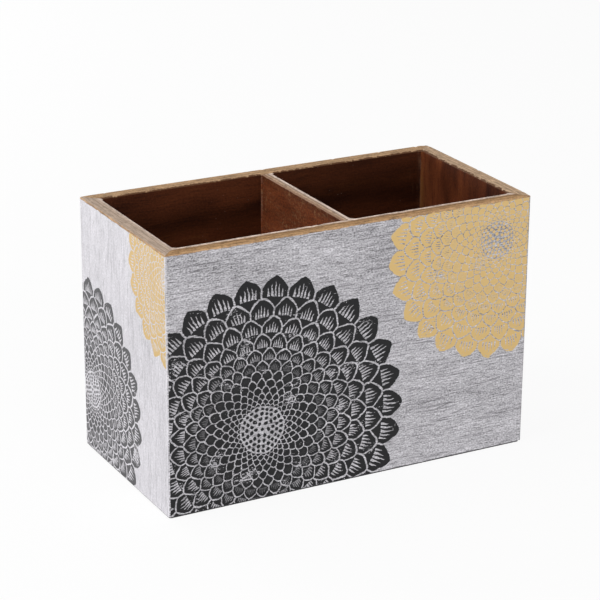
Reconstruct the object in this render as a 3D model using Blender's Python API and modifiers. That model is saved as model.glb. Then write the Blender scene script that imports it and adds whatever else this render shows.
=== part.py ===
"""Pen stand: an open plywood box with a divider that makes two compartments.

The four wall boards are mitred at the corners. The divider is let into housings in the front and
back walls, and the floor is set between all four walls. Glue and headless pins hold the joints, and
a flocked sheet under the box protects the desk. Metres, +Z up, with the origin at the centre of the
footprint and the front wall towards -Y.
"""

import math

import bmesh
import bpy
from mathutils import Matrix, Vector

# Overall size: X, Y and Z
LENGTH = 0.1524
DEPTH = 0.0762
HEIGHT = 0.1016

# Thickness of each board and of the sheet
WALL_BOARD = 0.0060
DIVIDER_BOARD = 0.0040
FLOOR_BOARD = 0.0040
BASE_SHEET = 0.0005

# Joints
GLUE_LINE = 0.0002
HOUSING_DEPTH = 0.0015
DIVIDER_DROP = 0.0002
SHEET_INSET = 0.0005

# Rounded edges
CORNER_ROUND = 0.0006
RIM_ROUND = 0.0005
OUTER_EASE = 0.0004
DIVIDER_ROUND = 0.0004
SHEET_CORNER = 0.0010

# Headless pins: PIN_SET is how far a pin stops under the face that it is driven through
PIN_RADIUS = 0.0004
PIN_LENGTH = 0.0150
PIN_CLEARANCE = 0.0001
PIN_SET = 0.0002
WALL_PIN_MARGIN = 0.0200
FLOOR_PIN_MARGIN = 0.0380

# Facets
ARC_STEPS = 4
SHEET_ARC_STEPS = 6
ROUND_SEGMENTS = 4
PIN_SIDES = 12

# Heights that follow from the sizes above
WALL_FOOT = BASE_SHEET + GLUE_LINE
FLOOR_TOP = WALL_FOOT + FLOOR_BOARD

SAME_PLACE = 1e-6
CUTTER_OVERRUN = 0.001
FLAT_ANGLE = math.radians(1)


def clear_scene():
    for found in list(bpy.data.objects):
        bpy.data.objects.remove(found)


def new_collection(name):
    collection = bpy.data.collections.new(name)
    bpy.context.scene.collection.children.link(collection)
    return collection


def new_material(name, colour, roughness, metallic=0.0):
    material = bpy.data.materials.new(name)
    material.use_nodes = True
    material.diffuse_color = (*colour, 1)
    shader = material.node_tree.nodes["Principled BSDF"]
    shader.inputs["Base Color"].default_value = (*colour, 1)
    shader.inputs["Roughness"].default_value = roughness
    shader.inputs["Metallic"].default_value = metallic
    return material


def new_part(name, mesh, collection, frame, materials):
    part = bpy.data.objects.new(name, mesh)
    collection.objects.link(part)
    part.parent = frame
    for material in materials:
        mesh.materials.append(material)
    return part


def arc(centre, radius, start, end, steps):
    """Points on a circular arc, with both ends, from the start angle to the end angle."""
    points = []
    for step in range(steps + 1):
        angle = start + (end - start) * step / steps
        points.append((centre[0] + radius * math.cos(angle), centre[1] + radius * math.sin(angle)))
    return points


def extruded_mesh(name, outline, low, high):
    """The outline, in the XY plane, carried up from low to high."""
    curve = bpy.data.curves.new(name, "CURVE")
    curve.dimensions = "2D"
    curve.fill_mode = "BOTH"
    curve.extrude = (high - low) / 2
    spline = curve.splines.new("POLY")
    spline.points.add(len(outline) - 1)
    for point, (x, y) in zip(spline.points, outline):
        point.co = (x, y, 0, 1)
    spline.use_cyclic_u = True
    guide = bpy.data.objects.new(name, curve)
    bpy.context.scene.collection.objects.link(guide)
    graph = bpy.context.evaluated_depsgraph_get()
    mesh = bpy.data.meshes.new_from_object(guide.evaluated_get(graph))
    bpy.data.objects.remove(guide)
    bpy.data.curves.remove(curve)
    shape = bmesh.new()
    shape.from_mesh(mesh)
    bmesh.ops.remove_doubles(shape, verts=shape.verts, dist=SAME_PLACE)
    bmesh.ops.dissolve_limit(shape, angle_limit=FLAT_ANGLE, verts=shape.verts, edges=shape.edges)
    bmesh.ops.recalc_face_normals(shape, faces=shape.faces)
    bmesh.ops.translate(shape, verts=shape.verts, vec=(0, 0, (low + high) / 2))
    shape.to_mesh(mesh)
    shape.free()
    return mesh


def box_mesh(name, size, centre):
    mesh = bpy.data.meshes.new(name)
    shape = bmesh.new()
    place = Matrix.Translation(centre) @ Matrix.Diagonal((*size, 1))
    bmesh.ops.create_cube(shape, size=1, matrix=place)
    shape.to_mesh(mesh)
    shape.free()
    return mesh


def rod_mesh(name, radius, length):
    """A round rod that starts at the origin and runs along +Z."""
    mesh = bpy.data.meshes.new(name)
    shape = bmesh.new()
    bmesh.ops.create_cone(
        shape,
        cap_ends=True,
        segments=PIN_SIDES,
        radius1=radius,
        radius2=radius,
        depth=length,
        matrix=Matrix.Translation((0, 0, length / 2)),
    )
    shape.to_mesh(mesh)
    shape.free()
    return mesh


def round_edges(part, radius_of_edge):
    """Rounds each edge to the radius that radius_of_edge gives for its two ends, or leaves it at 0."""
    mesh = part.data
    radii = []
    for edge in mesh.edges:
        first, second = (mesh.vertices[index].co for index in edge.vertices)
        radii.append(radius_of_edge(first, second))
    widest = max(radii)
    weights = mesh.attributes.new("bevel_weight_edge", "FLOAT", "EDGE")
    for weight, radius in zip(weights.data, radii):
        weight.value = radius / widest
    bevel = part.modifiers.new("rounded edges", "BEVEL")
    bevel.limit_method = "WEIGHT"
    bevel.width = widest
    bevel.segments = ROUND_SEGMENTS
    bevel.use_clamp_overlap = False


def wall_outline(length, housed):
    """Plan of a wall board: x along it, and y from its outer face to its inner one.

    Each end is a mitre, set back by half the glue line, and the outer corner is rounded up to it.
    A housed board has the divider's groove in the middle of its inner face.
    """
    half = length / 2
    set_back = GLUE_LINE / math.sqrt(2)
    arc_end = -math.pi / 4 - math.asin(min(1, GLUE_LINE / (2 * CORNER_ROUND)))
    centre = (half - CORNER_ROUND, CORNER_ROUND)
    right_end = arc(centre, CORNER_ROUND, -math.pi / 2, arc_end, ARC_STEPS)
    right_end.append((half - WALL_BOARD - set_back, WALL_BOARD))
    if housed:
        groove = DIVIDER_BOARD / 2 + GLUE_LINE
        right_end.append((groove, WALL_BOARD))
        right_end.append((groove, WALL_BOARD - HOUSING_DEPTH))
    left_end = [(-x, y) for x, y in reversed(right_end)]
    return right_end + left_end


def wall_edge_radius(first, second):
    """Radius of a wall board's edge: the rim's inner and outer edges, and the foot's outer edge."""
    at_rim = min(first.z, second.z) > HEIGHT - SAME_PLACE
    at_foot = max(first.z, second.z) < WALL_FOOT + SAME_PLACE
    at_inner_face = min(first.y, second.y) > WALL_BOARD - SAME_PLACE
    at_outer_face = max(first.y, second.y) < CORNER_ROUND + SAME_PLACE
    if at_rim and at_inner_face:
        return RIM_ROUND
    if (at_rim or at_foot) and at_outer_face:
        return OUTER_EASE
    return 0


def divider_edge_radius(first, second):
    """Radius of a divider's edge: only the two long edges at its top are rounded."""
    along_the_top = min(first.z, second.z) > HEIGHT - DIVIDER_DROP - SAME_PLACE
    long_edge = abs(first.y - second.y) > SAME_PLACE
    if along_the_top and long_edge:
        return min(DIVIDER_ROUND, DIVIDER_BOARD / 2 - SAME_PLACE)
    return 0


def make_wall(name, length, housed, place, turn, collection, frame, finishes):
    """A wall board: silver outside, stained inside, with the plies showing at the rim."""
    mesh = extruded_mesh(name, wall_outline(length, housed), WALL_FOOT, HEIGHT)
    order = (finishes["silver"], finishes["stain"], finishes["ply"])
    wall = new_part(name, mesh, collection, frame, order)
    for face in mesh.polygons:
        if face.normal.z > 0.5:
            face.material_index = order.index(finishes["ply"])
        elif face.center.y > CORNER_ROUND:
            face.material_index = order.index(finishes["stain"])
    round_edges(wall, wall_edge_radius)
    wall.location = place
    wall.rotation_euler.z = turn
    return wall


def make_walls(collection, frame, finishes):
    plans = {
        "front_panel": (LENGTH, True, (0, -DEPTH / 2, 0), 0),
        "back_panel": (LENGTH, True, (0, DEPTH / 2, 0), math.pi),
        "left_panel": (DEPTH, False, (-LENGTH / 2, 0, 0), -math.pi / 2),
        "right_panel": (DEPTH, False, (LENGTH / 2, 0, 0), math.pi / 2),
    }
    walls = {}
    for name, (length, housed, place, turn) in plans.items():
        walls[name] = make_wall(name, length, housed, place, turn, collection, frame, finishes)
    return walls


def make_floor(collection, frame, finishes):
    inside = 2 * (WALL_BOARD + GLUE_LINE)
    size = (LENGTH - inside, DEPTH - inside, FLOOR_BOARD)
    mesh = box_mesh("floor_panel", size, (0, 0, WALL_FOOT + FLOOR_BOARD / 2))
    return new_part("floor_panel", mesh, collection, frame, [finishes["stain"]])


def make_divider(collection, frame, finishes):
    low = FLOOR_TOP + GLUE_LINE
    high = HEIGHT - DIVIDER_DROP
    reach = DEPTH - 2 * (WALL_BOARD - HOUSING_DEPTH + GLUE_LINE)
    mesh = box_mesh("divider", (DIVIDER_BOARD, reach, high - low), (0, 0, (low + high) / 2))
    order = (finishes["stain"], finishes["ply"])
    divider = new_part("divider", mesh, collection, frame, order)
    for face in mesh.polygons:
        if face.normal.z > 0.5:
            face.material_index = order.index(finishes["ply"])
    round_edges(divider, divider_edge_radius)
    return divider


def make_base_sheet(collection, frame, finishes):
    half_x = LENGTH / 2 - SHEET_INSET - SHEET_CORNER
    half_y = DEPTH / 2 - SHEET_INSET - SHEET_CORNER
    outline = []
    for quarter, (x, y) in enumerate(((1, 1), (-1, 1), (-1, -1), (1, -1))):
        start = quarter * math.pi / 2
        centre = (x * half_x, y * half_y)
        outline += arc(centre, SHEET_CORNER, start, start + math.pi / 2, SHEET_ARC_STEPS)
    mesh = extruded_mesh("base_sheet", outline, 0, BASE_SHEET)
    return new_part("base_sheet", mesh, collection, frame, [finishes["flock"]])


def drive_pin(name, head, direction, boards, parts, cutters, frame, steel):
    """A pin driven from head, a point on an outer face, and its hole in each of the boards."""
    aim = Vector(direction).to_track_quat("Z", "Y")
    pin = new_part(name, rod_mesh(name, PIN_RADIUS, PIN_LENGTH), parts, frame, [steel])
    pin.location = Vector(head) + PIN_SET * Vector(direction)
    pin.rotation_euler = aim.to_euler()
    hole_length = CUTTER_OVERRUN + PIN_SET + PIN_LENGTH + GLUE_LINE
    hole = new_part(
        f"{name}_hole",
        rod_mesh(f"{name}_hole", PIN_RADIUS + PIN_CLEARANCE, hole_length),
        cutters,
        frame,
        [],
    )
    hole.location = Vector(head) - CUTTER_OVERRUN * Vector(direction)
    hole.rotation_euler = aim.to_euler()
    hole.hide_render = True
    hole.display_type = "WIRE"
    for board in boards:
        cut = board.modifiers.new(f"hole for {name}", "BOOLEAN")
        cut.operation = "DIFFERENCE"
        cut.solver = "EXACT"
        cut.object = hole


def drive_pins(walls, floor, divider, parts, cutters, frame, steel):
    """The corner, divider and floor pins, each driven square through the face of a wall."""
    levels = {"low": WALL_FOOT + WALL_PIN_MARGIN, "high": HEIGHT - WALL_PIN_MARGIN}
    corner_x = LENGTH / 2 - WALL_BOARD / 2
    floor_x = LENGTH / 2 - FLOOR_PIN_MARGIN
    floor_z = WALL_FOOT + FLOOR_BOARD / 2
    ends = {"left": -1, "right": 1}
    for face, outward in {"front": -1, "back": 1}.items():
        wall = walls[f"{face}_panel"]
        y = outward * DEPTH / 2
        inward = (0, -outward, 0)
        for level, z in levels.items():
            for end, side in ends.items():
                name = f"{face}_{end}_corner_pin_{level}"
                boards = (wall, walls[f"{end}_panel"])
                drive_pin(name, (side * corner_x, y, z), inward, boards, parts, cutters, frame, steel)
            name = f"{face}_divider_pin_{level}"
            drive_pin(name, (0, y, z), inward, (wall, divider), parts, cutters, frame, steel)
        for end, side in ends.items():
            name = f"{face}_floor_pin_{end}"
            head = (side * floor_x, y, floor_z)
            drive_pin(name, head, inward, (wall, floor), parts, cutters, frame, steel)
    for end, side in ends.items():
        boards = (walls[f"{end}_panel"], floor)
        head = (side * LENGTH / 2, 0, floor_z)
        drive_pin(f"{end}_floor_pin", head, (-side, 0, 0), boards, parts, cutters, frame, steel)


def main():
    clear_scene()
    parts = new_collection("pen_stand")
    cutters = new_collection("pin_holes")
    frame = bpy.data.objects.new("pen_stand_frame", None)
    parts.objects.link(frame)
    finishes = {
        "silver": new_material("silvered_outside", (0.45, 0.44, 0.47), 0.42, 0.35),
        "stain": new_material("dark_stained_inside", (0.055, 0.021, 0.011), 0.38),
        "ply": new_material("plywood_edge", (0.42, 0.27, 0.14), 0.45),
        "flock": new_material("flocked_sheet", (0.03, 0.03, 0.032), 0.95),
        "steel": new_material("pin_steel", (0.55, 0.55, 0.56), 0.35, 1.0),
    }
    walls = make_walls(parts, frame, finishes)
    floor = make_floor(parts, frame, finishes)
    divider = make_divider(parts, frame, finishes)
    make_base_sheet(parts, frame, finishes)
    drive_pins(walls, floor, divider, parts, cutters, frame, finishes["steel"])


if __name__ == "__main__":
    main()
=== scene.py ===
import math

import bpy
from mathutils import Matrix, Vector


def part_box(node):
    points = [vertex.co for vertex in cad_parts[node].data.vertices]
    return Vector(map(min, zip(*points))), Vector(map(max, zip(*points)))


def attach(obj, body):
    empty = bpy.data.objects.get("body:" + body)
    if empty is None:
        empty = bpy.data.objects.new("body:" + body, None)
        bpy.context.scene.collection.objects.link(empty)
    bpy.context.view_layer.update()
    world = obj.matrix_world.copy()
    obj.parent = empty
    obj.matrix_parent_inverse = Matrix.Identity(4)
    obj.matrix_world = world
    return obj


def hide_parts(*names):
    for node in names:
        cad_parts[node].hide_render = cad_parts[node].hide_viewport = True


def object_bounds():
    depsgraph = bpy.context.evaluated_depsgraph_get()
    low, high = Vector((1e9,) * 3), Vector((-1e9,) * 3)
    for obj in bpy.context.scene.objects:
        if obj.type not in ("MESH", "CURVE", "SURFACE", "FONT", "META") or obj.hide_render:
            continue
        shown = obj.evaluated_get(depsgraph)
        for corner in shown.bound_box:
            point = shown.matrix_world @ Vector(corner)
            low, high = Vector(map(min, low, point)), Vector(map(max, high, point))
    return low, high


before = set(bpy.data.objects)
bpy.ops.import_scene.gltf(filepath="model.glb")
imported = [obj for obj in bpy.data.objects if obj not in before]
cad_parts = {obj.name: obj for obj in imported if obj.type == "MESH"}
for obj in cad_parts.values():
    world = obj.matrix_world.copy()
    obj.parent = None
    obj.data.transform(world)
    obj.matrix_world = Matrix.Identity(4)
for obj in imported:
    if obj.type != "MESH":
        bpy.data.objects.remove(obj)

# Sizes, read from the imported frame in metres
CAD_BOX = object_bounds()
MM = 0.001
LENGTH, DEPTH, RIM = (high - low for low, high in zip(*CAD_BOX))
FRONT_LOW, FRONT_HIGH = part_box("front_panel")
DIVIDER_LOW, DIVIDER_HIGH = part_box("divider")
FLOOR_LOW, FLOOR_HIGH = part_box("floor_panel")
FOOT = FRONT_LOW.z
WALL = FRONT_HIGH.y - FRONT_LOW.y

# The same sizes in millimetres, for the finishes
HALF_LENGTH_MM = LENGTH / 2 / MM
HALF_DEPTH_MM = DEPTH / 2 / MM
RIM_MM = RIM / MM
WALL_MM = WALL / MM
DIVIDER_TOP_MM = DIVIDER_HIGH.z / MM
HALF_DIVIDER_MM = (DIVIDER_HIGH.x - DIVIDER_LOW.x) / 2 / MM

# Rounded edges, filler and wear, in metres
RIM_ROUND = 0.5 * MM
OUTER_EASE = 0.5 * MM
CORNER_ROUND = 0.6 * MM
CORNER_FILL = 2.4 * MM
DIVIDER_ROUND = 0.4 * MM
DIVIDER_FILL_FRONT_RIGHT = 3.2 * MM
DIVIDER_FILL_BACK_RIGHT = 1.2 * MM
DIVIDER_FILL_LEFT = 0.6 * MM
FLOOR_ROUND = 0.3 * MM
FLOOR_FILL = 0.1 * MM
WORN_BAND = 0.38 * MM
WEAR_REACH = 4.0 * MM
CORNER_WEAR = {"front_left": 0.10 * MM, "front_right": 0.42 * MM,
               "back_left": 0.10 * MM, "back_right": 0.38 * MM}
NICK_DEPTH = 0.18 * MM
NICK_SKIN = 0.05 * MM
NICKS_PER_METRE = 420.0

# How finely the boards are divided, and the Y of a normal below which a wall's face is outside
ROUND_POINTS = 6
WALL_STATIONS = 221
CROSS_STATIONS = 161
SHARP_EDGE = math.radians(40)
FACING_OUT = -0.6

# Where filler flares a cross board, as the end along it and the side across it
FILL_CORNERS = {"Front Left Fill": (1.0, -1.0), "Front Right Fill": (1.0, 1.0),
                "Back Left Fill": (-1.0, -1.0), "Back Right Fill": (-1.0, 1.0)}

# Colours, in linear light
SILVER = (0.405, 0.395, 0.416)
SILVER_DARK = (0.130, 0.124, 0.134)
BLACK_INK = (0.011, 0.011, 0.012)
GOLD_INK = (0.620, 0.430, 0.180)
PLY_GOLD = (0.374, 0.222, 0.108)
PLY_TAN = (0.490, 0.350, 0.238)
PLY_ASHEN = (0.430, 0.338, 0.272)
# Pale ply: partly the wood's own colour and partly a painted highlight on rounded arrises
PLY_PALE = (0.640, 0.520, 0.450)
PLY_GLUE = (0.095, 0.046, 0.022)
STAIN_BLEED = (0.108, 0.048, 0.024)
STAIN_RED = (0.156, 0.042, 0.0155)
STAIN_GOLD = (0.150, 0.058, 0.018)
STAIN_DARK = (0.034, 0.0095, 0.005)
STAIN_WORN = (0.400, 0.235, 0.120)
DUST = (0.420, 0.330, 0.280)
FLOCK_DARK = (0.016, 0.016, 0.018)
FLOCK_LIGHT = (0.060, 0.058, 0.062)
STEEL_DULL = (0.340, 0.340, 0.350)
STEEL_BRIGHT = (0.620, 0.620, 0.630)
STAGE_WHITE = (0.860, 0.860, 0.860, 1.0)
LIGHT_WHITE = (1.0, 1.0, 1.0, 1.0)

# Gloss of each finish, and how metallic the silver is
PRINT_GLOSS = 0.20
LACQUER_GLOSS = 0.05
FLOOR_GLOSS = 0.15
LACQUER_COAT = 0.20
LACQUER_COAT_ROUGHNESS = 0.35
SILVER_METAL = 0.7

# Depth of the marks in each finish, in metres, and how strongly they show
SILVER_MARKS = 0.05 * MM
STAIN_MARKS = 0.06 * MM
FLOCK_MARKS = 0.12 * MM
STEEL_MARKS = 0.01 * MM
MARK_STRENGTH = 0.6

# Edge of the plywood: glue lines as middle and half width in millimetres, and strength
GLUE_LINES = ((1.60, 0.26, 0.30), (3.50, 0.30, 0.35))
NO_PALE_PLY = 99.0
DIVIDER_FIRST_PLY = 1.2
DIVIDER_DARK_PLY = 2.2

# Stain and painted shade inside the walls: where each mark starts and ends, in millimetres
HEART_BAND = (1.5, 8.5)
MITRE_LINE = (0.05, 0.16)
CORNER_SEAM = (0.5, 1.2)
CORNER_SMEARS = (2.0, 8.0)
CLEAR_OF_DIVIDER = (2.2, 3.0)
# MIDDLE_OF_BACK is where the painted shadow of the divider begins over the back wall's right half
MIDDLE_OF_BACK = (-6.0, 6.0)

# Silver, painted light: how much lighter it is at the foot of a face than at its rim (painted floor
# bounce), and on its bright upright edge (painted highlight, with some rubbed wear)
FOOT_BOUNCE_LIGHT = 0.16
EDGE_HIGHLIGHT = 0.25

# Rosettes: growth of each layer of petals, veins as place and start, and the seed head's dots
PETAL_GROWTH = 1.17
PETAL_VEINS = ((0.0, 0.30), (0.26, 0.42), (0.52, 0.56))
SEED_HEAD = 0.15
SEED_RINGS = 5.0
SEEDS_PER_RING = 6.0
SEED_EDGE = (0.36, 0.46)

# Block prints, in millimetres: cuts at a rosette's rim, softness of a cut and waver of its lines
WIDEST_CUT_MM = {"black": 0.95, "gold": 0.62}
SOFT_MM = 0.10
WIDE_WAVER_MM = 2.2
FINE_WAVER_MM = 0.7

# Prints on each face: ink, centre and radius in millimetres, number of petals, and turn in radians
FRONT_PRINTS = (
    ("black", (-38.0, 28.0), 60.0, 30.0, 0.10),
    ("gold", (62.0, 86.0), 48.0, 26.0, 0.30),
)
LEFT_PRINTS = (
    ("black", (-30.0, 26.0), 46.0, 26.0, 0.20),
    ("gold", (40.0, 92.0), 34.0, 22.0, 0.10),
)
RIGHT_PRINTS = (
    ("gold", (24.0, 20.0), 44.0, 24.0, 0.40),
    ("black", (-34.0, 90.0), 34.0, 22.0, 0.15),
)
BACK_PRINTS = (
    ("gold", (-44.0, 66.0), 50.0, 26.0, 0.25),
    ("black", (52.0, 24.0), 56.0, 28.0, 0.05),
)

# Studio: the floor's reach in metres, and lamps as place and side in metres, and power in watts
STAGE_REACH = 4.0
FLOOR_GLOW = 0.91
AMBIENT = 0.43
LAMP_TARGET = Vector((0.0, 0.0, 0.05))
LAMPS = {
    "key_from_front": ((-0.20, -1.20, 0.45), 0.9, 8.0),
    "low_from_back_left": ((-0.36, 1.04, 0.16), 0.5, 9.5),
    "high_from_left": ((-0.85, 0.05, 1.00), 0.9, 6.5),
}

# Camera, from a perspective fit to the box's corners
CAMERA_PLACE = Vector((-0.38603, -0.71451, 0.35998))
CAMERA_AZIMUTH = math.radians(-28.243)
CAMERA_ELEVATION = math.radians(20.293)
CAMERA_ROLL = math.radians(0.3463)
CAMERA_LENS_MM = 135.47
CAMERA_SENSOR_MM = 36.0


# Formulas in node trees

class Wire:
    """A node's output that takes part in formulas with numbers and other outputs."""

    def __init__(self, socket):
        self.socket = socket
        self.tree = socket.id_data

    def __add__(self, other):
        return calc("ADD", self, other)

    def __radd__(self, other):
        return calc("ADD", other, self)

    def __sub__(self, other):
        return calc("SUBTRACT", self, other)

    def __rsub__(self, other):
        return calc("SUBTRACT", other, self)

    def __mul__(self, other):
        return calc("MULTIPLY", self, other)

    def __rmul__(self, other):
        return calc("MULTIPLY", other, self)

    def __truediv__(self, other):
        return calc("DIVIDE", self, other)

    def __rtruediv__(self, other):
        return calc("DIVIDE", other, self)

    def __abs__(self):
        return calc("ABSOLUTE", self)


def feed(socket, value):
    """Links an output to a socket, or sets the socket's own value."""
    if isinstance(value, Wire):
        value.tree.links.new(value.socket, socket)
    else:
        socket.default_value = value


def add(tree, kind, inputs, **settings):
    """Adds a node with its settings, feeds its inputs and returns its first output."""
    node = tree.nodes.new(kind)
    for label, value in settings.items():
        setattr(node, label, value)
    for label, value in inputs.items():
        feed(node.inputs[label], value)
    return Wire(node.outputs[0])


def tree_of(terms):
    """The tree of the first output among numbers and outputs."""
    return next(term.tree for term in terms if isinstance(term, Wire))


def calc(operation, *terms):
    """One math node on numbers and outputs."""
    return add(tree_of(terms), "ShaderNodeMath", dict(enumerate(terms)), operation=operation)


def at_least(first, second):
    """The larger of two values."""
    return calc("MAXIMUM", first, second)


def at_most(first, second):
    """The smaller of two values."""
    return calc("MINIMUM", first, second)


def root(value):
    """The square root, or zero below zero."""
    return calc("SQRT", at_least(value, 0.0))


def square(value):
    """A value times itself."""
    return value * value


def ramp(value, low, high, kind="SMOOTHSTEP"):
    """Rises from 0 at low to 1 at high."""
    inputs = {"Value": value, "From Min": low, "From Max": high}
    return add(value.tree, "ShaderNodeMapRange", inputs, interpolation_type=kind)


def fade(value, low, high, kind="SMOOTHSTEP"):
    """Falls from 1 at low to 0 at high."""
    return 1.0 - ramp(value, low, high, kind)


def under(top, up, deep, shallow):
    """Rises from 0 to 1 between two depths under a board's top."""
    return ramp(up, top - deep, top - shallow)


def between(first, second, share):
    """A value between two values."""
    return first * (1.0 - share) + second * share


def join(x, y, z):
    """A vector of three values."""
    return add(tree_of((x, y, z)), "ShaderNodeCombineXYZ", {"X": x, "Y": y, "Z": z})


def split(vector):
    """A vector's three values."""
    node = vector.tree.nodes.new("ShaderNodeSeparateXYZ")
    feed(node.inputs[0], vector)
    return [Wire(socket) for socket in node.outputs]


def noise(place, scale=1.0, detail=2.0, roughness=0.5):
    """Soft noise from 0 to 1, with its middle at one half."""
    inputs = {"Vector": place, "Scale": scale, "Detail": detail, "Roughness": roughness}
    return add(place.tree, "ShaderNodeTexNoise", inputs)


def noise_pair(place, scale):
    """Two unlike soft noises from 0 to 1."""
    node = place.tree.nodes.new("ShaderNodeTexNoise")
    feed(node.inputs["Vector"], place)
    node.inputs["Scale"].default_value = scale
    return split(Wire(node.outputs["Color"]))[:2]


def about_zero(value, amount):
    """A noise from 0 to 1, moved to swing about zero by a given amount."""
    return (value - 0.5) * amount


def waver(place, scale, amount, detail=2.0):
    """Soft noise about zero, for ragged lines and drifting grain."""
    return about_zero(noise(place, scale, detail), amount)


def patches(place, scale, low, high, detail=2.0, roughness=0.5):
    """Patches where soft noise is above a level: 1 inside, with soft edges."""
    return ramp(noise(place, scale, detail, roughness), low, high)


def scattered(place, scale):
    """Distance to the nearest of many points scattered over a face."""
    inputs = {"Vector": place, "Scale": scale}
    return add(place.tree, "ShaderNodeTexVoronoi", inputs, voronoi_dimensions="2D")


def colour_node(tree, first, second, share, blend="MIX"):
    """A node that brings two colours together."""
    node = tree.nodes.new("ShaderNodeMix")
    node.data_type = "RGBA"
    node.blend_type = blend
    feed(node.inputs[0], share)
    for socket, colour in zip(node.inputs[6:8], (first, second)):
        feed(socket, colour if isinstance(colour, Wire) else (*colour, 1.0))
    return Wire(node.outputs[2])


def mix(first, second, share):
    """A colour between two colours."""
    return colour_node(share.tree, first, second, share)


def tint(colour, factor):
    """A colour made lighter or darker."""
    return colour_node(factor.tree, colour, join(factor, factor, factor), 1.0, "MULTIPLY")


def new_tree(name, kind, inputs, outputs):
    """A node group with its named sockets, its input wires by name and its output sockets."""
    tree = bpy.data.node_groups.new(name, kind)
    for label, socket in inputs.items():
        tree.interface.new_socket(label, in_out="INPUT", socket_type=f"NodeSocket{socket}")
    for label, socket in outputs.items():
        tree.interface.new_socket(label, in_out="OUTPUT", socket_type=f"NodeSocket{socket}")
    source = tree.nodes.new("NodeGroupInput")
    sink = tree.nodes.new("NodeGroupOutput")
    return tree, {label: Wire(source.outputs[label]) for label in inputs}, sink.inputs


def new_group(name, inputs, outputs):
    """A shader node group of numbers in, and numbers and colours out."""
    group, wires, sink = new_tree(name, "ShaderNodeTree", dict.fromkeys(inputs, "Float"), outputs)
    return group, wires.values(), sink


def use(tree, group, **values):
    """Places a shader node group in a tree and returns its outputs by name."""
    node = tree.nodes.new("ShaderNodeGroup")
    node.node_tree = group
    for label, value in values.items():
        feed(node.inputs[label.replace("_", " ")], value)
    return {socket.name: Wire(socket) for socket in node.outputs}


# Boards, made with Geometry Nodes

def new_board_tree(name, sizes, materials):
    """A Geometry Nodes tree with named sizes and materials, and its input wires by name."""
    inputs = {**dict.fromkeys(sizes, "Float"), **dict.fromkeys(materials, "Material")}
    tree, wires, sink = new_tree(name, "GeometryNodeTree", inputs, {"Board": "Geometry"})
    return tree, wires, sink["Board"]


def swept_section(tree, near, far, foot, top, near_round, far_round, stations):
    """A section with two rounded upper edges, swept along X from -1 to 1."""
    corners = ((near, foot), (far, foot), (far, top), (near, top))
    points = {f"Point {i + 1}": join(y * -1.0, z * -1.0, 0.0) for i, (y, z) in enumerate(corners)}
    outline = add(tree, "GeometryNodeCurvePrimitiveQuadrilateral", points, mode="POINTS")
    corner = add(tree, "GeometryNodeInputIndex", {})
    far_top = calc("COMPARE", corner, 2.0, 0.5)
    near_top = calc("COMPARE", corner, 3.0, 0.5)
    rounded = {"Curve": outline, "Count": ROUND_POINTS,
               "Radius": far_top * far_round + near_top * near_round}
    outline = add(tree, "GeometryNodeFilletCurve", rounded, mode="POLY")
    ends = {"Start": (-1.0, 0.0, 0.0), "End": (1.0, 0.0, 0.0)}
    path = add(tree, "GeometryNodeCurvePrimitiveLine", ends)
    path = add(tree, "GeometryNodeResampleCurve", {"Curve": path, "Count": stations}, mode="COUNT")
    path = add(tree, "GeometryNodeSetCurveNormal", {"Curve": path}, mode="Z_UP")
    sweep = {"Curve": path, "Profile Curve": outline, "Fill Caps": True}
    return add(tree, "GeometryNodeCurveToMesh", sweep)


def board_place(tree):
    """The swept section's fields: its share of the length, crowded at the ends, and its section."""
    along, across, up = split(add(tree, "GeometryNodeInputPosition", {}))
    return calc("SINE", along * (math.pi / 2)), across, up


def round_lift(radius, gap):
    """How far a round of a given radius lifts off a face, by the gap left to the face's end."""
    return radius - root(square(radius) - square(at_least(radius - gap, 0.0)))


def nicked(tree, board, top, depth):
    """Dents the upper edges a little, here and there."""
    place = add(tree, "GeometryNodeInputPosition", {})
    normal = split(add(tree, "GeometryNodeInputNormal", {}))
    near_top = under(top, split(place)[2], WORN_BAND, NICK_SKIN)
    dent = patches(place, NICKS_PER_METRE, 0.60, 0.74, detail=1.0) * near_top * depth * -1.0
    offset = join(*(axis * dent for axis in normal))
    return add(tree, "GeometryNodeSetPosition", {"Geometry": board, "Offset": offset})


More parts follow.
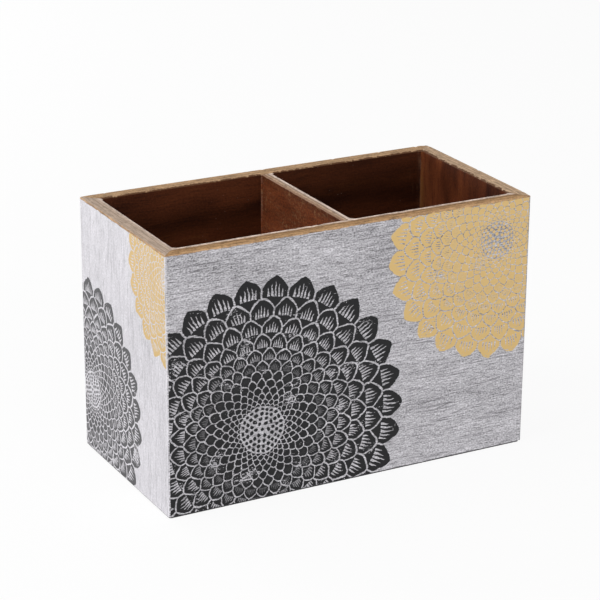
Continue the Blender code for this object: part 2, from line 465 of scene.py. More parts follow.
def wall_board_tree():
    """A wall board: mitred ends, rounded rim, eased outer corners and filled inner corners."""
    sizes = ("Length", "Thickness", "Foot", "Top", "Rim Round", "Outer Ease", "Corner Round",
             "Corner Fill", "Nick Depth", "Near Wear", "Far Wear")
    tree, size, sink = new_board_tree("wall_board", sizes, ("Outside", "Inside"))
    board = swept_section(tree, size["Thickness"] * 0.0, size["Thickness"], size["Foot"], size["Top"],
                          size["Outer Ease"], size["Rim Round"], WALL_STATIONS)
    share, inward, up = board_place(tree)
    reach = size["Length"] * 0.5 - inward
    gap = reach * (1.0 - abs(share))
    middle = size["Thickness"] * 0.5
    outer = fade(inward, 0.0, middle, "LINEAR")
    inner = ramp(inward, middle, size["Thickness"] - size["Rim Round"], "LINEAR")
    corner_setback = 1.0 - math.sqrt(0.5)
    slide = 0.0
    rise = 0.0
    for radius, weight in ((size["Corner Round"], outer), (size["Corner Fill"], inner)):
        shift = square(at_least(1.0 - gap / radius, 0.0)) * radius * corner_setback
        slide = shift * weight + slide
        rise = round_lift(radius, gap + shift) * weight + rise
    x = calc("SIGN", share) * (reach * abs(share) - slide)
    far_end = ramp(share, -0.5, 0.5, "LINEAR")
    wear = between(size["Near Wear"], size["Far Wear"], far_end)
    from_tip = root(square(inward + gap) + square(inward))
    worn = wear * fade(from_tip, 0.0, WEAR_REACH) * ramp(up, size["Top"] - WORN_BAND, size["Top"])
    bent = {"Geometry": board, "Position": join(x, inward + rise, up - worn)}
    board = add(tree, "GeometryNodeSetPosition", bent)
    board = nicked(tree, board, size["Top"], size["Nick Depth"])
    board = add(tree, "GeometryNodeRealizeInstances", {"Geometry": board})
    board = add(tree, "GeometryNodeSetMaterial", {"Geometry": board, "Material": size["Inside"]})
    normal = split(add(tree, "GeometryNodeInputNormal", {}))
    outer_face = calc("LESS_THAN", normal[1], FACING_OUT)
    outside = {"Geometry": board, "Selection": outer_face, "Material": size["Outside"]}
    feed(sink, add(tree, "GeometryNodeSetMaterial", outside))
    return tree


def cross_board_tree():
    """A board that stands between two walls, with rounded top and filler flaring at both ends."""
    sizes = ("Length", "Thickness", "Foot", "Top", "Edge Round", "Housed", "Nick Depth", *FILL_CORNERS)
    tree, size, sink = new_board_tree("cross_board", sizes, ("Finish",))
    half = size["Thickness"] * 0.5
    board = swept_section(tree, half * -1.0, half, size["Foot"], size["Top"],
                          size["Edge Round"], size["Edge Round"], CROSS_STATIONS)
    share, across, up = board_place(tree)
    x = share * size["Length"] * 0.5
    inner_face = size["Length"] * 0.5 - size["Housed"]
    flare = 0.0
    for label, (end, side) in FILL_CORNERS.items():
        gap = at_least(inner_face - x * end, 0.0)
        lift = round_lift(size[label], gap)
        flare = lift * at_least(across * side, 0.0) * side / half + flare
    bent = {"Geometry": board, "Position": join(x, across + flare, up)}
    board = add(tree, "GeometryNodeSetPosition", bent)
    board = nicked(tree, board, size["Top"], size["Nick Depth"])
    board = add(tree, "GeometryNodeRealizeInstances", {"Geometry": board})
    feed(sink, add(tree, "GeometryNodeSetMaterial", {"Geometry": board, "Material": size["Finish"]}))
    return tree


def show(name, data):
    """A new object in the scene."""
    piece = bpy.data.objects.new(name, data)
    bpy.context.scene.collection.objects.link(piece)
    return piece


def grow(name, tree, values, place):
    """Runs a Geometry Nodes tree and returns its result as a plain mesh object, set in place."""
    holder = show(f"{name}_holder", bpy.data.meshes.new(f"{name}_holder"))
    modifier = holder.modifiers.new("board", "NODES")
    modifier.node_group = tree
    for item in tree.interface.items_tree:
        if item.in_out == "INPUT":
            modifier[item.identifier] = values[item.name]
    graph = bpy.context.evaluated_depsgraph_get()
    mesh = bpy.data.meshes.new_from_object(holder.evaluated_get(graph))
    bpy.data.objects.remove(holder)
    mesh.transform(place)
    mesh.shade_smooth()
    mesh.set_sharp_from_angle(angle=SHARP_EDGE)
    piece = show(name, mesh)
    piece.modifiers.new("even_shading", "WEIGHTED_NORMAL").keep_sharp = True
    return piece


# Effects that several finishes share

def board_grain_group():
    """Grain of a veneer face: broad clouds, fine streaks and short open pores, on millimetres."""
    group, (along, across, seed), out = new_group(
        "board_grain", ("Along", "Across", "Seed"),
        {"Clouds": "Float", "Streaks": "Float", "Pores": "Float"})
    line = across + waver(join(along * 0.05, across * 0.05, seed), 1.0, 3.0, detail=1.0)
    feed(out["Clouds"], noise(join(along * 0.03, line * 0.14, seed + 3.7), detail=3.0))
    feed(out["Streaks"], noise(join(along * 0.10, line * 1.7, seed + 9.1), detail=3.0, roughness=0.6))
    strokes = join(along * 0.17, line * 1.9, seed + 17.3)
    feed(out["Pores"], patches(strokes, 1.0, 0.60, 0.70, detail=1.0))
    return group


def silver_coat_group():
    """A thin silver coat rubbed on open grain: short dashes, fine speckle and dark pores."""
    group, (along, across, seed, lightness, contrast), out = new_group(
        "silver_coat", ("Along", "Across", "Seed", "Lightness", "Contrast"),
        {"Color": "Color", "Roughness": "Float", "Height": "Float"})
    grain = use(group, BOARD_GRAIN, Along=along, Across=across, Seed=seed)
    dashes = noise(join(along * 0.22, across * 2.0, seed), roughness=0.65)
    speckle = noise(join(along * 1.3, across * 2.0, seed + 4.0), detail=1.0)
    scratches = patches(join(along * 0.04, across * 1.7, seed + 8.0), 1.0, 0.58, 0.67)
    lift = about_zero(dashes, 1.5) + about_zero(speckle, 1.7) + about_zero(grain["Clouds"], 0.6)
    colour = tint(SILVER, lift * contrast + lightness)
    dark = at_most(grain["Pores"] * 0.40 + scratches * 0.45, 1.0)
    feed(out["Color"], mix(colour, SILVER_DARK, dark * contrast))
    feed(out["Roughness"], about_zero(speckle, 0.25) + grain["Pores"] * 0.10 + 0.50)
    feed(out["Height"], dashes * 0.5 + speckle * 0.3 - grain["Pores"] * 0.5)
    return group


def brown_stain_group():
    """Brown stain brushed on veneer: reddish bands, fine mottling and dark pores."""
    group, (along, across, seed, bands, mottling, tone), out = new_group(
        "brown_stain", ("Along", "Across", "Seed", "Bands", "Mottling", "Tone"),
        {"Color": "Color", "Roughness": "Float", "Height": "Float"})
    grain = use(group, BOARD_GRAIN, Along=along, Across=across, Seed=seed)
    mottle = noise(join(along * 1.1, across * 1.3, seed), detail=3.0, roughness=0.7)
    red = (about_zero(grain["Clouds"], bands) + about_zero(grain["Streaks"], 0.5)
           + about_zero(mottle, mottling))
    colour = mix(STAIN_DARK, STAIN_RED, ramp(red, -0.5, 0.5))
    colour = mix(colour, STAIN_GOLD, ramp(red, 0.15, 0.55))
    feed(out["Color"], tint(colour, (1.0 - grain["Pores"] * 0.25) * tone))
    feed(out["Roughness"], about_zero(mottle, 0.3) + grain["Pores"] * 0.15 + 0.38)
    feed(out["Height"], grain["Streaks"] * 0.4 + mottle * 0.3 - grain["Pores"] * 0.4)
    return group


def ply_edge_group():
    """Sanded edge of plywood by its depth in the board, on millimetres: plies and glue lines.

    Golden runs from -1 for ashen wood to 1 for golden wood, and a pale ply starts at Pale From; where it
    lies on a rounded arris, the pale ply is partly a painted highlight.
    """
    group, (depth, along, golden, pale_from, seed), out = new_group(
        "ply_edge", ("Depth", "Along", "Golden", "Pale From", "Seed"),
        {"Color": "Color", "Roughness": "Float", "Height": "Float"})
    level = depth + waver(join(along * 0.06, seed, 0.0), 1.0, 1.4)
    fibre = noise(join(along * 0.09, level * 1.4, seed), roughness=0.6)
    patch = noise(join(along * 0.28, depth * 0.7, seed + 5.0), detail=3.0, roughness=0.6)
    speck = noise(join(along * 1.4, depth * 0.8, seed + 11.0), detail=1.0)
    dashes = patches(join(along * 0.16, level * 0.9, seed + 7.0), 1.0, 0.55, 0.68)
    pale = ramp(level - pale_from, 0.0, 1.2) * (ramp(patch, 0.30, 0.60) * 0.35 + 0.65)
    pale_joint = fade(abs(level - pale_from + 0.30), 0.40, 1.20)
    colour = mix(mix(PLY_TAN, PLY_GOLD, golden), PLY_ASHEN, golden * -1.0)
    colour = mix(colour, PLY_PALE, pale)
    for middle, half_width, strength in GLUE_LINES:
        line = fade(abs(level - middle), half_width * 0.4, half_width)
        colour = mix(colour, PLY_GLUE, line * ramp(patch, 0.25, 0.55) * strength)
    colour = mix(colour, PLY_GLUE, pale_joint * ramp(fibre, 0.40, 0.58) * golden * 0.6)
    uneven = about_zero(fibre, 1.1) + about_zero(patch, 1.4) + about_zero(speck, 0.7)
    uneven = uneven - dashes * 0.30 + 0.08
    feed(out["Color"], tint(colour, uneven * (golden * 0.35 + 1.0) + 1.0))
    feed(out["Roughness"], about_zero(patch, 0.3) + 0.75)
    feed(out["Height"], fibre * 0.6 + patch * 0.3)
    return group


def flecks_group():
    """Sparse specks of dust and dried paint."""
    group, (across, up, seed), out = new_group("flecks", ("Across", "Up", "Seed"), {"Mask": "Float"})
    place = join(across, up, seed)
    spots = fade(scattered(place, 0.24), 0.02, 0.06)
    feed(out["Mask"], spots * patches(place, 0.07, 0.56, 0.66, detail=1.0))
    return group


def seed_dots(reach, angle, head):
    """Dots in rings round one dot in the middle: 1 on each dot of a rosette's seed head."""
    rings = reach / head * SEED_RINGS
    ring = calc("FLOOR", rings)
    seeds_round = at_least(ring * SEEDS_PER_RING, 1.0)
    from_seed = calc("FRACT", angle * seeds_round / math.tau + ring * 0.5) - 0.5
    along_ring = from_seed * math.tau * rings / seeds_round
    across_ring = rings - ring - 0.5
    past_middle = at_most(ring, 1.0)
    from_ring_seed = root(square(along_ring) + square(across_ring)) * past_middle
    from_middle_seed = rings * (1.0 - past_middle)
    return fade(from_ring_seed + from_middle_seed, *SEED_EDGE)


def rosette_group():
    """A block-cut rosette of layered petals round a seed head: 1 where the block leaves ink."""
    group, (across, up, radius, petals, turn, widest_cut), out = new_group(
        "rosette", ("Across", "Up", "Radius", "Petals", "Turn", "Widest Cut"), {"Ink": "Float"})
    reach = root(square(across) + square(up))
    angle = calc("ARCTAN2", up, across) + turn
    steps = calc("LOGARITHM", radius / at_least(reach, 0.01), PETAL_GROWTH)
    layer = calc("FLOOR", steps)
    within = steps - layer
    half_turn = calc("FLOORED_MODULO", layer, 2.0) * 0.5
    sector = calc("FRACT", angle * petals / math.tau + half_turn) - 0.5
    side = abs(sector) * 2.0
    tip = square(side) * 0.40 + side * 0.22
    share = reach / radius
    cut = (share * 0.75 + 0.25) * widest_cut
    veined = ramp(share, 0.32, 0.60)
    layer_mm = reach * math.log(PETAL_GROWTH)
    half_petal_mm = reach * math.pi / petals
    tip_cut = fade(abs(within - tip) * layer_mm, cut * 0.5, cut * 0.5 + SOFT_MM)
    on_petal = ramp(within - tip, -0.02, 0.0)
    cuts = fade((1.0 - side) * half_petal_mm, cut * 0.35, cut * 0.35 + SOFT_MM)
    for middle, start in PETAL_VEINS:
        half_width = ramp(within, start, 1.0, "LINEAR") * cut * 0.5
        vein = fade(abs(side - middle) * half_petal_mm, half_width, half_width + SOFT_MM)
        cuts = at_least(cuts, vein * ramp(within, start, start + 0.1) * veined)
    petal_ink = (1.0 - tip_cut) * (1.0 - cuts * on_petal)
    outer_layer = calc("LESS_THAN", layer, 0.5)
    petal_ink = petal_ink * ramp(steps - tip * outer_layer, 0.0, 0.03)
    head = radius * SEED_HEAD
    in_head = fade(reach, head - SOFT_MM, head)
    head_ring = fade(abs(reach - head), cut * 0.8, cut * 0.8 + SOFT_MM)
    seeds = seed_dots(reach, angle, head)
    feed(out["Ink"], between(petal_ink, seeds, in_head) * (1.0 - head_ring))
    return group


def ink_hold_group():
    """Where block-printed ink holds on the board: dry patches, specks and lifted strokes."""
    group, (along, across, seed), out = new_group(
        "ink_hold", ("Along", "Across", "Seed"), {"Hold": "Float"})
    grain = use(group, BOARD_GRAIN, Along=along, Across=across, Seed=seed)
    patch = noise(join(along * 0.10, across * 0.14, seed + 2.0))
    speck = noise(join(along * 1.1, across * 1.7, seed + 6.0), roughness=0.6)
    dry = about_zero(speck, 1.2) + about_zero(patch, 1.5) + about_zero(grain["Streaks"], 0.7)
    feed(out["Hold"], fade(dry, 0.30, 0.42))
    return group


BOARD_GRAIN = board_grain_group()
SILVER_COAT = silver_coat_group()
BROWN_STAIN = brown_stain_group()
PLY_EDGE = ply_edge_group()
FLECKS = flecks_group()
ROSETTE = rosette_group()
INK_HOLD = ink_hold_group()


# Finishes

def new_material(name):
    """A material with a Principled shader, its tree and its object coordinates in millimetres."""
    material = bpy.data.materials.new(name)
    material.use_nodes = True
    tree = material.node_tree
    shader = tree.nodes["Principled BSDF"]
    place = tree.nodes.new("ShaderNodeTexCoord").outputs["Object"]
    x, y, z = (axis * (1.0 / MM) for axis in split(Wire(place)))
    return material, tree, shader.inputs, (x, y, z)


def bump(tree, height, depth):
    """A normal from a height, with the depth of its marks in metres."""
    marks = {"Height": height, "Strength": MARK_STRENGTH, "Distance": depth}
    return add(tree, "ShaderNodeBump", marks)


def grain_places(sideways, up, upright, seed):
    """Places along and across the grain, which runs up the board or sideways."""
    along, across = (up, sideways) if upright else (sideways, up)
    return {"Along": along, "Across": across, "Seed": seed}


def printed_face(name, sideways_axis, upright, seed, half_width, prints, bright_side, lightness, contrast,
                 black_sheen_cover=1.0):
    """A silvered face with rosettes printed on it, its bare edges and its ragged rim line, with painted
    light: lighter towards the foot, a painted highlight on one upright edge and painted shade on the
    other.
    """
    material, tree, shader, place = new_material(name)
    axis, sign = sideways_axis
    across = place[axis] * sign
    up = place[2]
    spot = join(across, up, seed)
    grain = grain_places(across, up, upright, seed)
    # Painted light on the silver: a painted highlight, with some rubbed wear, along the upright edge on
    # the bright side, and painted floor bounce towards the foot
    rubbed_and_highlit = fade(half_width - across * bright_side, 0.35, 0.95)
    coat = fade(up, 0.0, RIM_MM) * FOOT_BOUNCE_LIGHT + rubbed_and_highlit * EDGE_HIGHLIGHT + lightness
    silver = use(tree, SILVER_COAT, Lightness=coat, Contrast=contrast, **grain)
    wide = noise_pair(spot, 0.14)
    fine = noise_pair(spot, 0.80)
    shaken = [value + about_zero(far, WIDE_WAVER_MM) + about_zero(near, FINE_WAVER_MM)
              for value, far, near in zip((across, up), wide, fine)]
    inks = {"black": 0.0, "gold": 0.0}
    for ink, (centre_across, centre_up), radius, petals, turn in prints:
        rosette = use(tree, ROSETTE, Across=shaken[0] - centre_across, Up=shaken[1] - centre_up,
                      Radius=radius, Petals=petals, Turn=turn, Widest_Cut=WIDEST_CUT_MM[ink])
        inks[ink] = at_least(rosette["Ink"], inks[ink])
    from_edge = half_width - abs(across) + waver(spot, 0.7, 0.5)
    inked = use(tree, INK_HOLD, **grain)["Hold"] * ramp(from_edge, 0.45, 0.80)
    # The black ink is made paler on a face by painted sheen
    black = inks["black"] * inked * black_sheen_cover
    gold = inks["gold"] * inked
    printed = at_least(black, gold)
    # Painted shade along the upright edge away from the bright side
    edge_shade = fade(half_width + across * bright_side, 0.20, 0.70) * patches(spot, 0.06, 0.35, 0.55)
    point = join(*place)
    wander = waver(point, 0.22, 0.9) + waver(point, 1.3, 0.5)
    bare = under(RIM_MM, up + wander, 0.80, 0.55)
    rim_line = bare * (1.0 - bare) * 4.0 * patches(spot, 0.35, 0.40, 0.60)
    ply = use(tree, PLY_EDGE, Depth=RIM_MM - up, Along=across, Golden=0.9, Seed=seed,
              Pale_From=NO_PALE_PLY)
    colour = mix(mix(silver["Color"], GOLD_INK, gold), BLACK_INK, black)
    colour = mix(colour, SILVER_DARK, edge_shade * 0.8)
    colour = mix(colour, ply["Color"], bare)
    feed(shader["Base Color"], mix(colour, PLY_GLUE, rim_line * 0.7))
    feed(shader["Metallic"], (1.0 - black) * (1.0 - bare) * (1.0 - gold * 0.8) * SILVER_METAL)
    feed(shader["Roughness"], between(silver["Roughness"] + printed * 0.06, ply["Roughness"], bare))
    height = silver["Height"] * (1.0 - printed * 0.6) + printed * 0.4
    feed(shader["Normal"], bump(tree, height, SILVER_MARKS))
    shader["Specular IOR Level"].default_value = PRINT_GLOSS
    return material


def lacquered(shader, tree, stain, ply, bare, dusty):
    """Stain under satin lacquer where the wood isn't bare, and matt bare ply elsewhere."""
    feed(shader["Base Color"], mix(mix(stain["Color"], DUST, dusty), ply["Color"], bare))
    feed(shader["Roughness"], between(stain["Roughness"], ply["Roughness"], bare))
    feed(shader["Normal"], bump(tree, between(stain["Height"], ply["Height"], bare), STAIN_MARKS))
    feed(shader["Coat Weight"], (1.0 - bare) * LACQUER_COAT)
    shader["Coat Roughness"].default_value = LACQUER_COAT_ROUGHNESS
    shader["Specular IOR Level"].default_value = LACQUER_GLOSS


def stained_wall(name, upright, seed, golden, pale_from, bleed, bands, tone, heart, right_shade=0.0):
    """The inside of a wall: stain up to a ragged line at the rim, and bare ply above it; its tone, its
    lighter lower part and the darker right half of the back are painted light and shade.
    """
    material, tree, shader, (x, y, z) = new_material(name)
    spot = join(x, y, z)
    sideways = y if upright else x
    grain = grain_places(sideways, z, upright, seed)
    from_end = HALF_LENGTH_MM - abs(x)
    from_side = HALF_DEPTH_MM - abs(y)
    depth = at_most(from_end, from_side)
    from_corner = abs((from_side if upright else from_end) - WALL_MM)

    dark_heart = fade(abs(grain["Across"] - heart + waver(spot, 0.035, 16.0)), *HEART_BAND)
    # Painted light: the stain is made lighter low down in the box, against the shade deep inside
    painted_light_low = under(RIM_MM, z, 34.0, 14.0) * -0.20 + 1.20
    # Painted shadow of the divider over the right half of the back wall
    painted_divider_shadow = 1.0 - ramp(x, *MIDDLE_OF_BACK) * right_shade
    shade = painted_divider_shadow * (1.0 - dark_heart * 0.40) * painted_light_low * tone
    stain = use(tree, BROWN_STAIN, Bands=bands, Mottling=0.9, Tone=shade, **grain)
    smears = patches(join(sideways * 1.1, z * 0.10, seed), 1.0, 0.56, 0.70, detail=3.0, roughness=0.6)
    near_corner = fade(from_corner, *CORNER_SMEARS) * under(RIM_MM, z, 26.0, 8.0)
    stain["Color"] = mix(stain["Color"], STAIN_WORN, near_corner * smears * 0.12)

    ply = use(tree, PLY_EDGE, Depth=depth, Along=sideways, Golden=golden, Seed=seed, Pale_From=pale_from)
    wander = waver(spot, 0.30, 2.2) + waver(spot, 1.0, 3.0)
    inner_edge = ramp(depth + wander, WALL_MM - 1.0, WALL_MM - 0.4)
    soaked = inner_edge * ramp(abs(x), *CLEAR_OF_DIVIDER) * bleed
    mitre = fade(abs(from_end - from_side), *MITRE_LINE)
    ply["Color"] = mix(mix(ply["Color"], STAIN_BLEED, soaked), PLY_GLUE, mitre * 0.22)

    bare = under(RIM_MM, z + waver(spot, 0.8, 0.5), 0.50, 0.25)
    flecks = use(tree, FLECKS, Across=sideways, Up=z, Seed=seed)["Mask"]
    seam = fade(from_corner, *CORNER_SEAM) * patches(join(sideways, z, seed), 0.25, 0.46, 0.62, detail=3.0)
    lacquered(shader, tree, stain, ply, bare, flecks * 0.2 + seam * 0.12)
    return material


def stained_divider():
    """The divider: stained faces and a sanded ply edge on top, with painted light on the stain."""
    material, tree, shader, (x, y, z) = new_material("stained_divider")
    spot = join(x, y, z)
    # Painted light: the divider's stain has a much lighter tone than the walls', as if lit from the left;
    # it is also lighter low down and darker just under the top
    lighter_low = (1.0 - under(DIVIDER_TOP_MM, z, 20.0, 12.0)) * 0.35
    shade = lighter_low - under(DIVIDER_TOP_MM, z, 5.0, 0.5) * 0.50 + 1.10
    stain = use(tree, BROWN_STAIN, Along=y, Across=z, Seed=41.0, Bands=0.7, Mottling=1.8,
                Tone=shade * 1.85)
    specks = patches(spot, 0.9, 0.53, 0.63, roughness=0.7) * patches(spot, 0.09, 0.35, 0.60)
    stain["Color"] = mix(stain["Color"], STAIN_WORN, specks * 0.5)

    depth = x + HALF_DIVIDER_MM
    # The pale right part of the divider's top is partly a pale ply and partly a painted highlight on its
    # rounded edge
    ply = use(tree, PLY_EDGE, Depth=depth + DIVIDER_FIRST_PLY, Along=y, Golden=-0.1, Seed=43.0,
              Pale_From=2.9)
    soaked = fade(depth + waver(spot, 0.9, 2.2), 0.75, 1.25)
    crept = fade(depth, 1.5, 3.0)
    ply["Color"] = mix(ply["Color"], STAIN_RED, soaked * 0.36 + crept * 0.14)
    dark_ply = fade(abs(depth + waver(spot, 0.12, 0.8) - DIVIDER_DARK_PLY), 0.15, 0.45)
    ply["Color"] = mix(ply["Color"], PLY_GLUE, dark_ply * 0.40)

    bare = under(DIVIDER_TOP_MM, z + waver(spot, 0.9, 0.4), 0.40, 0.15)
    flecks = use(tree, FLECKS, Across=y, Up=z, Seed=47.0)["Mask"]
    past_wall_face = WALL_MM - HALF_DEPTH_MM + abs(y)
    seam = ramp(past_wall_face, -0.9, -0.2) * patches(join(y, z, x), 0.30, 0.42, 0.60, detail=3.0)
    lacquered(shader, tree, stain, ply, bare, flecks * 0.3 + seam * 0.12)
    return material


def stained_floor():
    """The floor of both compartments, stained and a little dusty."""
    material, tree, shader, (x, y, _) = new_material("stained_floor")
    stain = use(tree, BROWN_STAIN, Along=x, Across=y, Seed=53.0, Bands=1.2, Mottling=0.6, Tone=0.8)
    flecks = use(tree, FLECKS, Across=x, Up=y, Seed=59.0)["Mask"]
    haze = patches(join(x, y, 0.0), 0.06, 0.45, 0.75, detail=3.0)
    feed(shader["Base Color"], mix(stain["Color"], DUST, flecks * 0.6 + haze * 0.10))
    feed(shader["Roughness"], stain["Roughness"] + haze * 0.15)
    feed(shader["Normal"], bump(tree, stain["Height"], STAIN_MARKS))
    shader["Specular IOR Level"].default_value = FLOOR_GLOSS
    return material


def dark_flock():
    """Short dark flock: a matt pile with fibres lying in all directions."""
    material, tree, shader, (x, y, z) = new_material("dark_flock")
    pile = noise(join(x, y, z), 3.2, 3.0, 0.7)
    worn = noise(join(x, y, z), 0.12)
    colour = mix(FLOCK_DARK, FLOCK_LIGHT, ramp(pile, 0.3, 0.75))
    feed(shader["Base Color"], tint(colour, worn * 0.6 + 0.7))
    feed(shader["Roughness"], pile * 0.12 + 0.86)
    feed(shader["Normal"], bump(tree, pile, FLOCK_MARKS))
    return material


def drawn_steel():
    """Drawn wire: bright steel with fine die lines and dull patches."""
    material, tree, shader, (x, y, z) = new_material("drawn_steel")
    lines = noise(join(x * 0.4, y * 0.4, z * 9.0), detail=3.0)
    dull = noise(join(x, y, z), 0.5)
    feed(shader["Base Color"], mix(STEEL_DULL, STEEL_BRIGHT, lines))
    feed(shader["Roughness"], dull * 0.3 + 0.25)
    feed(shader["Normal"], bump(tree, lines, STEEL_MARKS))
    shader["Metallic"].default_value = 1.0
    return material


# Boards in place

WALL_BOARD = wall_board_tree()
CROSS_BOARD = cross_board_tree()


def turned(degrees, x=0.0, y=0.0):
    """A place on the floor, turned about the upright axis."""
    return Matrix.Translation((x, y, 0.0)) @ Matrix.Rotation(math.radians(degrees), 4, "Z")


def make_wall(name, length, place, ends, outside, inside):
    """A wall board that stands for its CAD panel; ends names its corners, from local -X to +X."""
    near, far = ends
    values = {"Length": length, "Thickness": WALL, "Foot": FOOT, "Top": RIM, "Rim Round": RIM_ROUND,
              "Outer Ease": OUTER_EASE, "Corner Round": CORNER_ROUND, "Corner Fill": CORNER_FILL,
              "Nick Depth": NICK_DEPTH, "Near Wear": CORNER_WEAR[near], "Far Wear": CORNER_WEAR[far],
              "Outside": outside, "Inside": inside}
    wall = grow(f"{name}_board", WALL_BOARD, values, place)
    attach(wall, "root")
    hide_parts(name)


# Each wall's tone is painted light: the same stain is lighter on the walls turned to the lamps and darkest
# on the back. A pale ply is given only on the front and left walls, whose inner rim carries it as a
# painted highlight.
FRONT_INSIDE = stained_wall("stained_front", upright=False, seed=11.0, golden=1.0, pale_from=3.7,
                            bleed=0.0, bands=1.2, tone=0.85, heart=62.0)
BACK_INSIDE = stained_wall("stained_back", upright=False, seed=12.0, golden=0.7, pale_from=NO_PALE_PLY,
                           bleed=0.95, bands=1.1, tone=0.72, heart=87.5, right_shade=0.30)
LEFT_INSIDE = stained_wall("stained_left", upright=True, seed=13.0, golden=-0.8, pale_from=4.5,
                           bleed=0.0, bands=1.8, tone=0.95, heart=9.0)
RIGHT_INSIDE = stained_wall("stained_right", upright=True, seed=14.0, golden=0.2, pale_from=NO_PALE_PLY,
                            bleed=0.95, bands=1.8, tone=1.26, heart=40.0)
# The faces' lightness and contrast are painted light and sheen: the same silver is lighter and flatter on
# the left face, and somewhat lighter on the right; the left face's black ink is paled as painted sheen
FRONT_FACE = printed_face("printed_front", sideways_axis=(0, 1.0), upright=False, seed=2.0,
                          half_width=HALF_LENGTH_MM, prints=FRONT_PRINTS,
                          bright_side=-1.0, lightness=1.0, contrast=1.22)
BACK_FACE = printed_face("printed_back", sideways_axis=(0, -1.0), upright=False, seed=3.0,
                         half_width=HALF_LENGTH_MM, prints=BACK_PRINTS,
                         bright_side=-1.0, lightness=1.0, contrast=1.22)
LEFT_FACE = printed_face("printed_left", sideways_axis=(1, -1.0), upright=True, seed=5.0,
                         half_width=HALF_DEPTH_MM, prints=LEFT_PRINTS,
                         bright_side=1.0, lightness=1.48, contrast=0.66, black_sheen_cover=0.88)
RIGHT_FACE = printed_face("printed_right", sideways_axis=(1, 1.0), upright=True, seed=7.0,
                          half_width=HALF_DEPTH_MM, prints=RIGHT_PRINTS,
                          bright_side=1.0, lightness=1.15, contrast=0.6)

make_wall("front_panel", LENGTH, turned(0, y=-DEPTH / 2), ("front_left", "front_right"),
          FRONT_FACE, FRONT_INSIDE)
make_wall("back_panel", LENGTH, turned(180, y=DEPTH / 2), ("back_right", "back_left"),
          BACK_FACE, BACK_INSIDE)
make_wall("left_panel", DEPTH, turned(-90, x=-LENGTH / 2), ("back_left", "front_left"),
          LEFT_FACE, LEFT_INSIDE)
make_wall("right_panel", DEPTH, turned(90, x=LENGTH / 2), ("front_right", "back_right"),
          RIGHT_FACE, RIGHT_INSIDE)


def make_cross_board(name, low, high, length_axis, place, own_sizes, finish):
    """A board between the walls that stands for its CAD node."""
    values = {"Length": (high - low)[length_axis], "Thickness": (high - low)[1 - length_axis],
              "Foot": low.z, "Top": high.z, "Nick Depth": NICK_DEPTH, "Finish": finish, **own_sizes}
    board = grow(f"{name}_board", CROSS_BOARD, values, place)
    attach(board, "root")
    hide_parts(name)


DIVIDER_SIZES = {"Edge Round": DIVIDER_ROUND, "Housed": DIVIDER_HIGH.y + WALL - DEPTH / 2,
                 "Front Left Fill": DIVIDER_FILL_LEFT, "Front Right Fill": DIVIDER_FILL_FRONT_RIGHT,
                 "Back Left Fill": DIVIDER_FILL_LEFT, "Back Right Fill": DIVIDER_FILL_BACK_RIGHT}
FLOOR_SIZES = {"Edge Round": FLOOR_ROUND, "Housed": 0.0, **dict.fromkeys(FILL_CORNERS, FLOOR_FILL)}
make_cross_board("divider", DIVIDER_LOW, DIVIDER_HIGH, 1, turned(-90), DIVIDER_SIZES, stained_divider())
make_cross_board("floor_panel", FLOOR_LOW, FLOOR_HIGH, 0, turned(0), FLOOR_SIZES, stained_floor())


# CAD nodes that are shown as they are

def finish_solid(solid, finish):
    """Gives a CAD node its material."""
    solid.data.materials.clear()
    solid.data.materials.append(finish)


FLOCK = dark_flock()
STEEL = drawn_steel()
for node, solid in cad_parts.items():
    if node == "base_sheet":
        finish_solid(solid, FLOCK)
    elif "_pin" in node:
        finish_solid(solid, STEEL)


# Studio

def make_stage():
    """A plain white floor that keeps the shadow of the stand."""
    mesh = bpy.data.meshes.new("studio_floor")
    corners = [(x * STAGE_REACH, y * STAGE_REACH, 0.0) for x, y in ((-1, -1), (1, -1), (1, 1), (-1, 1))]
    mesh.from_pydata(corners, [], [(0, 1, 2, 3)])
    stage = show("studio_floor", mesh)
    return stage


def seen_directly(tree):
    """1 for rays that show the background: from the camera, a reflection or through glass."""
    path = tree.nodes.new("ShaderNodeLightPath")
    rays = [Wire(path.outputs[f"Is {kind} Ray"]) for kind in ("Camera", "Glossy", "Transmission")]
    return at_least(at_least(rays[0], rays[1]), rays[2])


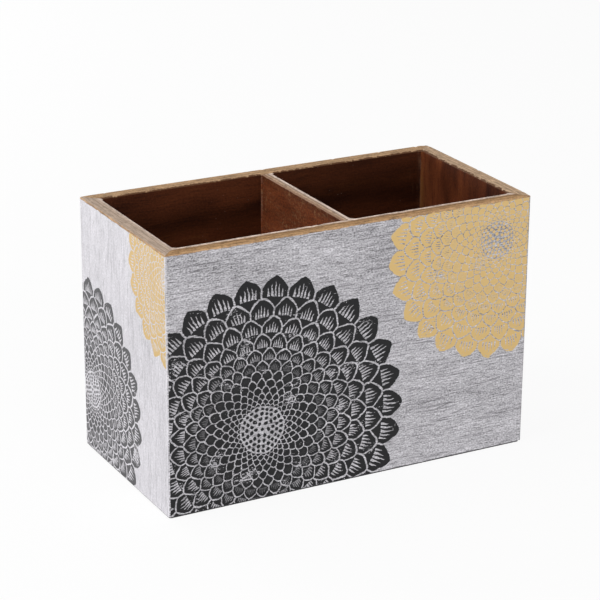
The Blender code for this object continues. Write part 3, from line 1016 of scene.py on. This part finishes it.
def floor_material():
    """Matt white that glows a little where it is seen, so that it meets the white background."""
    material = bpy.data.materials.new("studio_white")
    material.use_nodes = True
    tree = material.node_tree
    tree.nodes.clear()
    matt = add(tree, "ShaderNodeBsdfDiffuse", {"Color": STAGE_WHITE})
    glow = add(tree, "ShaderNodeEmission", {"Color": LIGHT_WHITE, "Strength": 1.0})
    shown = seen_directly(tree) * FLOOR_GLOW
    both = add(tree, "ShaderNodeMixShader", {0: shown, 1: matt, 2: glow})
    sink = tree.nodes.new("ShaderNodeOutputMaterial")
    feed(sink.inputs["Surface"], both)
    return material


def light_world():
    """Soft white light from all round, and a white background."""
    world = bpy.data.worlds.new("studio")
    bpy.context.scene.world = world
    world.use_nodes = True
    tree = world.node_tree
    background = tree.nodes["Background"].inputs
    background["Color"].default_value = LIGHT_WHITE
    feed(background["Strength"], seen_directly(tree) * (1.0 - AMBIENT) + AMBIENT)


def add_lamp(name, place, side, power):
    """A square soft lamp turned towards the stand."""
    lamp = bpy.data.lights.new(name, "AREA")
    lamp.size = side
    lamp.energy = power
    aim = (LAMP_TARGET - Vector(place)).to_track_quat("-Z", "Y")
    show(name, lamp).matrix_world = Matrix.Translation(place) @ aim.to_matrix().to_4x4()


def make_camera():
    """The camera at the photograph's viewing angle."""
    lens = bpy.data.cameras.new("camera")
    lens.lens = CAMERA_LENS_MM
    lens.sensor_width = CAMERA_SENSOR_MM
    camera = show("camera", lens)
    turn = Matrix.Rotation(CAMERA_AZIMUTH, 4, "Z")
    tilt = Matrix.Rotation(math.pi / 2 - CAMERA_ELEVATION, 4, "X")
    roll = Matrix.Rotation(CAMERA_ROLL, 4, "Z")
    camera.matrix_world = Matrix.Translation(CAMERA_PLACE) @ turn @ tilt @ roll
    bpy.context.scene.camera = camera


make_stage().data.materials.append(floor_material())
light_world()
for lamp_name, (lamp_place, lamp_side, lamp_power) in LAMPS.items():
    add_lamp(lamp_name, lamp_place, lamp_side, lamp_power)
make_camera()
bpy.context.scene.view_settings.view_transform = "Standard"
